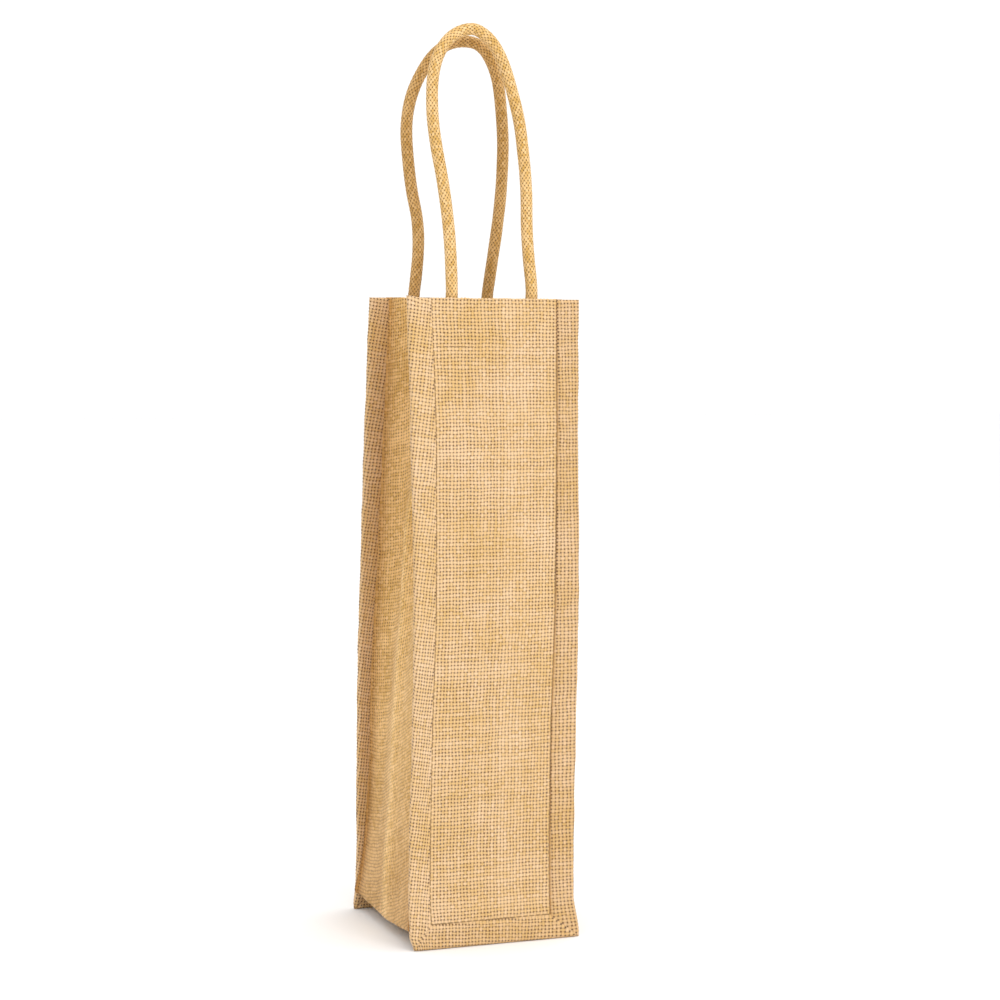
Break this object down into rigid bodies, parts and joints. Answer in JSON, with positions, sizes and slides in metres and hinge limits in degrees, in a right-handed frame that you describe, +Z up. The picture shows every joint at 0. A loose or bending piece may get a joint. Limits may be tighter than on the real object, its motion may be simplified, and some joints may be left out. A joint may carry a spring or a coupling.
{
  "type": "gift bag for one bottle",
  "caption": "Tall square-footed jute bag for a wine bottle, with stitched welts, creased side gussets, a turned hem and a braided rope handle on each side of the mouth.",
  "frame": {"origin": "on the floor, under the middle of the bag", "axes": "+Z up along the bag's height, the front faces -Y, +X to the right of someone facing the front"},
  "size_m": [0.098, 0.1036, 0.4998],
  "materials": {
    "jute_cloth": "plain-woven natural jute, about 13 yarns to the inch, matte",
    "jute_welt": "turned and pressed layers of the same jute cloth, matte",
    "braided_rope": "plaited golden jute rope, slightly hairy",
    "sewing_thread": "brown spun sewing thread"
  },
  "bodies": {
    "bag_body": {"back_panel": "jute_cloth", "back_left_welt": "jute_welt", "back_right_welt": "jute_welt", "back_bottom_welt": "jute_welt", "back_hem": "jute_cloth", "back_welt_thread": "sewing_thread", "back_hem_thread": "sewing_thread", "back_handle_left_end": "braided_rope", "back_handle_right_end": "braided_rope", "base_panel": "jute_cloth", "left_gusset_front": "jute_cloth", "left_gusset_rear": "jute_cloth", "left_gusset_hem": "jute_cloth", "right_gusset_front": "jute_cloth", "right_gusset_rear": "jute_cloth", "right_gusset_hem": "jute_cloth"},
    "front_side": {"front_panel": "jute_cloth", "front_left_welt": "jute_welt", "front_right_welt": "jute_welt", "front_bottom_welt": "jute_welt", "front_hem": "jute_cloth", "front_welt_thread": "sewing_thread", "front_hem_thread": "sewing_thread", "front_handle_left_end": "braided_rope", "front_handle_right_end": "braided_rope"},
    "front_handle": {"front_handle": "braided_rope"},
    "back_handle": {"back_handle": "braided_rope"}
  },
  "joints": [
    {"name": "mouth_opening", "type": "hinge", "parent": "bag_body", "child": "front_side", "pos_m": [0, -0.0492, 0.0093], "axis": [1, 0, 0], "range_deg": [0, 6.9], "deforming": ["left_gusset_front", "left_gusset_rear", "left_gusset_hem", "right_gusset_front", "right_gusset_rear", "right_gusset_hem"]},
    {"name": "front_handle_swing", "type": "hinge", "parent": "front_side", "child": "front_handle", "pos_m": [0, -0.0293, 0.35], "axis": [1, 0, 0], "range_deg": [0, 170]},
    {"name": "back_handle_swing", "type": "hinge", "parent": "bag_body", "child": "back_handle", "pos_m": [0, 0.0293, 0.35], "axis": [-1, 0, 0], "range_deg": [0, 170]}
  ]
}
